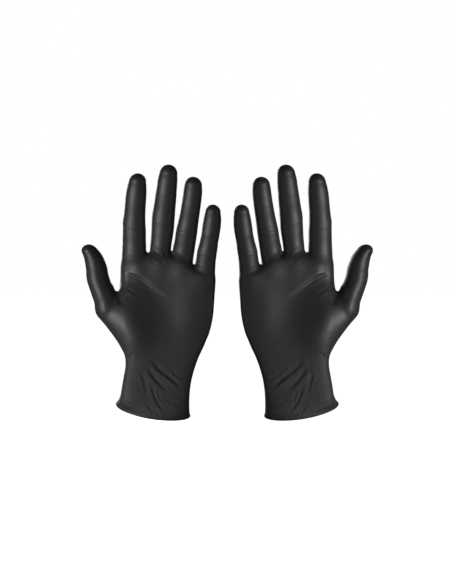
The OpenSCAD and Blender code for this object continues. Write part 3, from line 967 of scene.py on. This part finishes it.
@dataclass
class SkinPlan:
    """Where the left glove's skin is divided, and which body each part of it follows."""

    shape: HandShape
    wrist_reach: float = 16.0
    root_reach: dict[str, float] = field(default_factory=lambda: {
        "index": 15.6, "middle": 15.4, "ring": 13.4, "little": 10.4, "thumb": 22.0})
    middle_reach: float = 11.0
    end_reach: float = 7.0
    crotch: tuple[float, float] = (-33.3, 112.2)
    thumb_corner: tuple[float, float] = (-51.7, 90.2)
    thumb_bend: float = 12.5
    inset: float = 0.3
    web_points: tuple[tuple[float, float], ...] = (
        (-28.6, 143.5), (-3.6, 149.5), (19.1, 149.5), (40.3, 137.0), (58.6, 126.0))

    def __post_init__(self) -> None:
        """Reads the wrist joint and sets the planes at the roots of the digits."""
        self.wrist = np.array(joint_of("left_wrist")["pos_m"]) / MM
        self.fingers = self.shape.digits[1:]
        self.thumb = self.shape.digits[0]
        self.roots = {}
        ends = [*zip(self.web_points[:-1], self.web_points[1:]), (self.thumb_corner, self.crotch)]
        for digit, (a, b) in zip([*self.fingers, self.thumb], ends):
            along = np.array([b[0] - a[0], 0.0, b[1] - a[1]])
            normal = np.array([-along[2], 0.0, along[0]]) / np.linalg.norm(along)
            self.roots[digit.name] = (np.array([a[0], 0.0, a[1]]), normal)

    def owner(self, p: Array) -> Array:
        """Number of the digit that each point belongs to if it is past its root: 0 for the thumb."""
        lateral = []
        for digit in self.fingers:
            v = p - digit.knots[0]
            s = np.maximum(v @ digit.axis, 0.0)
            lateral.append(np.linalg.norm(v - s[:, None] * digit.axis, axis=1))
        finger = 1 + np.argmin(lateral, axis=0)
        x, z = p[:, 0], p[:, 2]
        beside = (x - self.crotch[0] + 0.25 * (z - self.crotch[1]) < 0) & (z > 80)
        return np.where(beside, 0, finger)

    def limits(self, digit: Digit) -> list[float]:
        """Lengths along a digit at which its skin is cut, after its root."""
        first = self.root_reach[digit.name]
        if digit is self.thumb:
            return [first, float(digit.marks[1]) + self.end_reach]
        second, third = float(digit.marks[2]) - self.end_reach, float(digit.marks[2]) + self.end_reach
        return [first, second, third]

    def cuts(self) -> list[Cut]:
        """Every cut of the skin above the cuff's edge."""
        up = np.array([0.0, 0.0, 1.0])
        made = [Cut(self.wrist + up * height, up, everywhere)
                for height in (-self.wrist_reach, self.wrist_reach)]
        for number, digit in enumerate(self.shape.digits):
            mine = lambda p, number=number: self.owner(p) == number
            made.append(Cut(*self.roots[digit.name], mine))
            for s in self.limits(digit):
                made.append(Cut(digit.point(s), digit.direction(s), mine))
        return made

    def zones(self, middles: Array) -> list[tuple[Zone, Array]]:
        """Each zone of the skin with the faces it has, from the middles of all faces."""
        up = np.array([0.0, 0.0, 1.0])
        owner = self.owner(middles)
        free = np.ones(len(middles), bool)
        made = []
        for number, digit in enumerate(self.shape.digits):
            root, normal = self.roots[digit.name]
            mine = (owner == number) & ((middles - root) @ normal > 0)
            free &= ~mine
            names = ["base", "tip"] if digit is self.thumb else ["base", "middle", "tip"]
            knuckles = ["root", "end"] if digit is self.thumb else ["root", "middle", "end"]
            bodies = ["palm", *(f"{digit.name}_{n}" for n in names)]
            steps = [(middles - digit.point(s)) @ digit.direction(s) > 0 for s in self.limits(digit)]
            between = [mine & a & ~b for a, b in zip(steps[:-1], steps[1:])]
            inside = [mine & ~steps[0], *between, mine & steps[-1]]
            for k, knuckle in enumerate(knuckles):
                start, end = self.bend_line(digit, k)
                stands_for = (bodies[k + 1],) if knuckle != "end" else ()
                pair = (bodies[k], bodies[k + 1])
                made.append((Zone(f"{digit.name}_{knuckle}_film", pair, stands_for, start, end), inside[k]))
            made.append((Zone(f"{digit.name}_tip_film", (bodies[-1],), (bodies[-1],)), inside[-1]))
        height = (middles - self.wrist) @ up
        low, high = height < -self.wrist_reach, height > self.wrist_reach
        reach = up * (self.wrist_reach - self.inset)
        wrist_film = Zone("wrist_film", ("cuff", "palm"), (), self.wrist - reach, self.wrist + reach)
        made.append((Zone("cuff_film", ("cuff",), ("cuff",)), free & low))
        made.append((wrist_film, free & ~low & ~high))
        made.append((Zone("palm_film", ("palm",), ("palm",)), free & high))
        return made

    def bend_line(self, digit: Digit, k: int) -> tuple[Array, Array]:
        """Start and end of the stretch that bends at a digit's joint k."""
        limits = self.limits(digit)
        if k == 0:
            root, normal = self.roots[digit.name]
            if digit is self.thumb:
                start = digit.knots[0] + normal * ((root - digit.knots[0]) @ normal + self.inset)
                return start, start + normal * self.thumb_bend
            edges = [np.array([x, 0.0, z]) for x, z in self.web_points]
            i = self.fingers.index(digit)
            first = max((e - digit.knots[0]) @ digit.direction(1.0) for e in edges[i : i + 2]) + self.inset
            return digit.point(first), digit.point(limits[0] - self.inset)
        reach = self.middle_reach if k == 1 and digit is not self.thumb else self.end_reach
        mark = float(digit.marks[k])
        low = limits[k - 1] + self.inset
        high = min(mark + reach, limits[k] - self.inset)
        return digit.point(low), digit.point(high)


@dataclass
class Glove:
    """One glove of the pair, dressed."""

    hand: Hand
    plan: SkinPlan
    thickness: float = 0.12
    tip_film_length: float = 22.0
    least_slack: float = 0.25
    slack_top: float = 88.0
    slack_length: float = 36.0

    def place(self, point: Array) -> tuple[float, float, float]:
        """A point of the left glove, in mm, as this glove's point in the frame, in metres."""
        x = point[0] if self.hand is Hand.LEFT else 2 * pair_middle() - point[0]
        return (x * MM, point[1] * MM, point[2] * MM)

    def build(self, skin: Skin, ring: Array, film: bpy.types.Material, rolled: bpy.types.Material) -> None:
        """Makes the glove's pieces from the left glove's skin and rim."""
        marks = self.marks(skin.points)
        middles = np.where(skin.faces[:, 3:4] < 0, skin.points[skin.faces[:, :3]].mean(1),
                           skin.points[np.maximum(skin.faces, 0)].mean(1))
        zones = self.plan.zones(middles)
        own = skin if self.hand is Hand.LEFT else skin.mirrored(pair_middle())
        for zone, chosen in zones:
            piece = film_mesh(f"{self.hand.value}_{zone.name}", own, chosen, self.thickness, marks)
            piece.data.materials.append(film)
            self.fasten(piece, zone)
            LOG.info("%s: %d faces", piece.name, len(piece.data.polygons))
        rim = np.array([np.array(self.place(p)) / MM for p in ring])
        bead = CuffBead().build(f"{self.hand.value}_cuff_bead_roll", rim, rolled)
        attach(bead, f"{self.hand.value}_cuff")
        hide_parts(f"{self.hand.value}_cuff_bead")
        LOG.info("%s: %d faces", bead.name, len(bead.data.polygons))

    def fasten(self, piece: bpy.types.Object, zone: Zone) -> None:
        """Hangs a piece that lies on one body on that body, leaves a piece that spans two bodies fixed in
        place, and hides the nodes it stands for.
        """
        bodies = [f"{self.hand.value}_{b}" for b in zone.bodies]
        if len(bodies) == 2:
            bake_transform(piece)
        else:
            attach(piece, bodies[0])
        if zone.stands_for:
            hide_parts(*(f"{self.hand.value}_{n}" for n in zone.stands_for))

    def marks(self, p: Array) -> dict[str, Array]:
        """Where the film is thick at the fingertips, and where it is slack."""
        tip = np.zeros(len(p))
        owner = self.plan.owner(p)
        for number, digit in enumerate(self.plan.shape.digits):
            s = (p - digit.knots[0]) @ digit.axis
            here = ease((s - digit.length + self.tip_film_length) / 20.0)
            tip = np.where(owner == number, np.maximum(tip, here), tip)
        slackening = ease((self.slack_top - p[:, 2]) / self.slack_length)
        slack = self.least_slack + (1.0 - self.least_slack) * slackening
        return {"tip_film": tip, "slack": slack}


def pair_middle() -> float:
    """X of the plane between the two gloves, in mm."""
    left, right = (joint_of(f"{h.value}_wrist")["pos_m"][0] for h in Hand)
    return (left + right) / 2 / MM


# ---------------------------------------------------------------- floor, light and camera


@dataclass
class Studio:
    """Plain pale floor, soft light from both sides and the camera. Its lengths are metres.

    Each glove has a key lamp at its thumb side and a weak fill at the other, which light that glove alone.
    hand_half is about half the width of the pair and side_reach how far past it the key lamps stand.
    """

    centre: tuple[float, float, float]
    hand_half: float = 0.13
    side_reach: float = 0.48
    key_watts: float = 7.0
    fill_watts: float = 0.36
    elevation: float = 2.0
    lens: float = 100.0
    sensor: float = 36.0
    view_height: float = 548.6

    def build(self) -> None:
        """Makes the floor, the lights, the surroundings and the camera."""
        self.floor()
        self.surroundings()
        x, y, z = self.centre
        half = self.hand_half
        sides = ((Hand.LEFT, -1), (Hand.RIGHT, 1))
        for hand, way in sides:
            self.lamp(f"key_{hand.value}", (x + way * (half + self.side_reach), y - 0.62, z - 0.10),
                      (x + way * half * 0.45, y, z), 0.45, self.key_watts, hand)
        for hand, way in sides:
            self.lamp(f"fill_{hand.value}", (x + way * (half * 0.5 - 0.70), y - 0.30, z),
                      (x + way * half * 0.5, y, z), 0.45, self.fill_watts, hand)
        self.lamp("front", (x, y - 1.8, z + 0.1), (x, y, z), 1.0, 1.75)
        self.lamp("back_left", (x - 0.55, y + 1.2, z + 0.3), (x - 0.07, y, z), 0.5, 9.0)
        self.lamp("back_right", (x + 0.15, y + 1.3, z + 0.1), (x, y, z), 0.5, 3.0)
        self.camera()

    def floor(self) -> None:
        """Pale floor below the cuffs, bright enough to run into the background."""
        mesh = bpy.data.meshes.new("floor")
        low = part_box("left_cuff_bead")[0].z - 0.15
        mesh.from_pydata([(x, y, low) for x, y in ((-8, -8), (8, -8), (8, 8), (-8, 8))], [], [(0, 1, 2, 3)])
        obj = bpy.data.objects.new("floor", mesh)
        bpy.context.scene.collection.objects.link(obj)
        paint = bpy.data.materials.new("pale_floor")
        paint.use_nodes = True
        shader = paint.node_tree.nodes["Principled BSDF"]
        shader.inputs["Base Color"].default_value = linear("#f4f4f4")
        shader.inputs["Roughness"].default_value = 1.0
        shader.inputs["Emission Color"].default_value = (1.0, 1.0, 1.0, 1.0)
        shader.inputs["Emission Strength"].default_value = 1.0
        mesh.materials.append(paint)
        obj.visible_diffuse = obj.visible_glossy = obj.visible_shadow = False
        obj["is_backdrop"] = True

    def surroundings(self) -> None:
        """White to the camera, dim to the gloves."""
        world = bpy.data.worlds.new("studio")
        bpy.context.scene.world = world
        world.use_nodes = True
        tree = world.node_tree
        tree.nodes.clear()
        seen = add_node(tree, "ShaderNodeLightPath").outputs["Is Camera Ray"]
        dim = add_node(tree, "ShaderNodeBackground", {"Color": (0.75, 0.78, 0.85, 1.0), "Strength": 0.10})
        white = add_node(tree, "ShaderNodeBackground", {"Color": (1.0, 1.0, 1.0, 1.0), "Strength": 1.0})
        mixed = add_node(tree, "ShaderNodeMixShader", {0: seen, 1: dim.outputs[0], 2: white.outputs[0]})
        add_node(tree, "ShaderNodeOutputWorld", {"Surface": mixed.outputs[0]})
        bpy.context.scene.view_settings.view_transform = "Standard"

    def lamp(self, name: str, at: Sequence[float], to: Sequence[float], size: float, power: float,
             only: Hand | None = None) -> None:
        """Adds a soft square lamp.

        Args:
            name: name of the lamp.
            at: where it is.
            to: where it points.
            size: length of its side, in metres.
            power: power in watts.
            only: hand whose glove alone it lights, or None.
        """
        data = bpy.data.lights.new(name, "AREA")
        data.shape, data.size, data.energy = "SQUARE", size, power
        obj = bpy.data.objects.new(name, data)
        obj.location = at
        obj.rotation_euler = (Vector(to) - Vector(at)).to_track_quat("-Z", "Y").to_euler()
        bpy.context.scene.collection.objects.link(obj)
        if only:
            lit = bpy.data.collections.new(f"lit_by_{name}")
            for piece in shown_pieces():
                if piece.name.startswith(only.value):
                    lit.objects.link(piece)
            obj.light_linking.receiver_collection = lit

    def camera(self) -> None:
        """Camera that looks at the palms, a little from above."""
        data = bpy.data.cameras.new("camera")
        data.lens, data.sensor_width = self.lens, self.sensor
        obj = bpy.data.objects.new("camera", data)
        bpy.context.scene.collection.objects.link(obj)
        distance = self.view_height * MM * self.lens / self.sensor
        rise = math.radians(self.elevation)
        x, y, z = self.centre
        obj.location = (x, y - distance * math.cos(rise), z + distance * math.sin(rise))
        obj.rotation_euler = (math.radians(90.0) - rise, 0.0, 0.0)
        data.clip_start, data.clip_end = 0.05, 50.0
        bpy.context.scene.camera = obj


def main() -> None:
    """Builds the gloves and the studio."""
    logging.basicConfig(level=logging.INFO, format="%(message)s")
    shape = HandShape()
    plan = SkinPlan(shape)
    points, quads = surface_net(shape.distance, np.array(SKIN_LOW), np.array(SKIN_HIGH), SKIN_CELL)
    points = settle(points, quads, shape)
    normals = point_normals(points, quads)
    points = points + normals * worn_folds(shape).height(points, normals[:, 1])[:, None]
    whole = Skin(points, quads, point_normals(points, quads))
    skin, ring = divide(whole, plan.cuts(), shape.rim_plane())
    LOG.info("skin: %d points, rim of %d", len(skin.points), len(ring))
    film, rolled = NitrileFilm().material(), RolledBead().material()
    for hand in Hand:
        Glove(hand, plan).build(skin, ring, film, rolled)
    low, high = CAD_BOX
    Studio(centre=((low.x + high.x) / 2 + VIEW_SHIFT, VIEW_DEPTH, VIEW_HEIGHT)).build()


if __name__ == "__main__":
    main()
